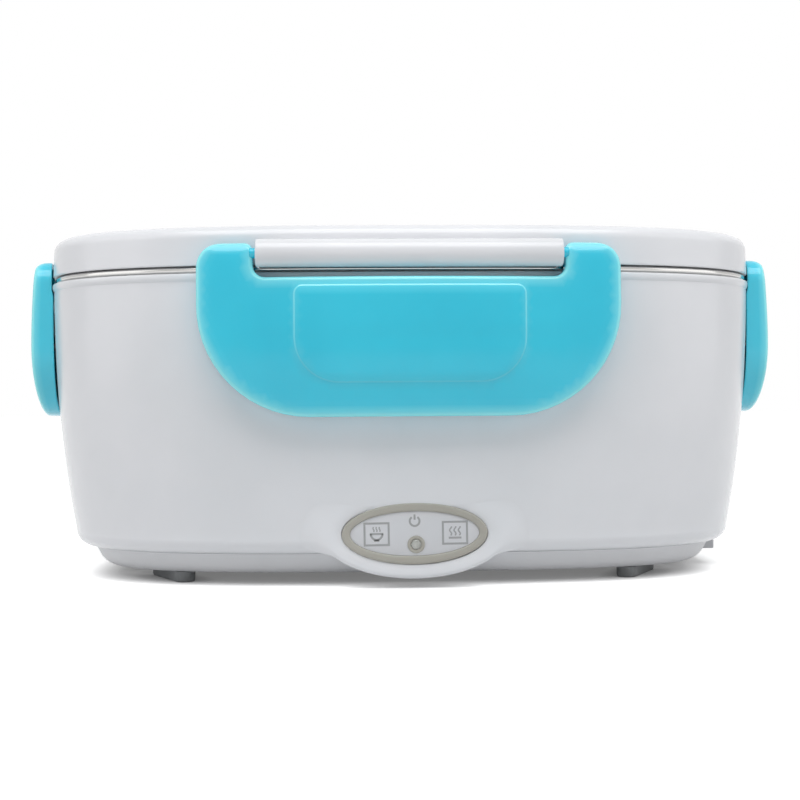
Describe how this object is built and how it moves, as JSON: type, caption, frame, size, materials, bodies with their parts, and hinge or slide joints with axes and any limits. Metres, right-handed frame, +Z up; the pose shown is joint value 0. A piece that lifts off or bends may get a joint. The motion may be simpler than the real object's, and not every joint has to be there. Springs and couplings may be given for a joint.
{
  "type": "electric lunch box",
  "caption": "Heated lunch box: oblong casing, steel food tray and a lift-off lid held by snap latches.",
  "frame": {"origin": "centre of the footprint, on the surface that the rubber feet stand on", "axes": "+Z up, -Y to the front with the oval panel, +X to the end with the power inlet"},
  "size_m": [0.245, 0.1678, 0.1087],
  "materials": {
    "shell_white": "glossy moulded polypropylene",
    "cover_white": "satin moulded polypropylene",
    "foot_rubber": "matt moulded rubber",
    "screw_steel": "zinc-plated steel",
    "plate_aluminium": "satin aluminium",
    "heater_dark": "matt phenolic",
    "pin_brass": "turned, nickel-plated",
    "panel_grey": "satin inlay",
    "ring_grey": "satin moulded",
    "lens_clear": "clear polished",
    "board_green": "solder-resist coated laminate",
    "wire_red": "silicone insulation",
    "tray_steel": "polished stainless steel",
    "seal_silicone": "matt silicone",
    "latch_aqua": "satin, slightly translucent polypropylene"
  },
  "bodies": {
    "base": {"outer_shell": "shell_white", "base_cover": "cover_white", "rubber_feet": "foot_rubber", "cover_screws": "screw_steel", "heater_plate": "plate_aluminium", "ptc_heater": "heater_dark", "heater_clamp": "screw_steel", "clamp_screws": "screw_steel", "thermostat": "heater_dark", "thermal_fuse": "cover_white", "inlet_socket": "cover_white", "inlet_pins": "pin_brass", "panel_plate": "panel_grey", "panel_ring": "ring_grey", "led_lens": "lens_clear", "led_board": "board_green", "wiring": "wire_red"},
    "tray": {"food_tray": "tray_steel"},
    "lid": {"lid_shell": "shell_white", "lid_liner": "cover_white", "lid_seal": "seal_silicone"},
    "steam_plug": {"vent_plug": "latch_aqua"},
    "front_clip": {"front_latch": "latch_aqua"},
    "rear_clip": {"rear_latch": "latch_aqua"},
    "left_clip": {"left_latch": "latch_aqua"},
    "right_clip": {"right_latch": "latch_aqua"}
  },
  "joints": [
    {"name": "lid_lift", "type": "slide", "parent": "base", "child": "lid", "axis": [0, 0, 1], "range_m": [0, 0.18]},
    {"name": "tray_lift", "type": "slide", "parent": "base", "child": "tray", "axis": [0, 0, 1], "range_m": [0, 0.09]},
    {"name": "steam_plug_pull", "type": "slide", "parent": "lid", "child": "steam_plug", "axis": [0, 0, 1], "range_m": [0, 0.01]},
    {"name": "front_clip_turn", "type": "hinge", "parent": "lid", "child": "front_clip", "pos_m": [0, -0.0791, 0.0993], "axis": [-1, 0, 0], "range_deg": [-0.88, 110]},
    {"name": "rear_clip_turn", "type": "hinge", "parent": "lid", "child": "rear_clip", "pos_m": [0, 0.0791, 0.0993], "axis": [1, 0, 0], "range_deg": [-0.88, 110]},
    {"name": "left_clip_turn", "type": "hinge", "parent": "lid", "child": "left_clip", "pos_m": [-0.1182, 0, 0.0993], "axis": [0, 1, 0], "range_deg": [-0.88, 110]},
    {"name": "right_clip_turn", "type": "hinge", "parent": "lid", "child": "right_clip", "pos_m": [0.1182, 0, 0.0993], "axis": [0, -1, 0], "range_deg": [-0.88, 110]}
  ],
  "couplings": [
    {"joint": "tray_lift", "follows": "lid_lift", "ratio": 0.5}
  ]
}
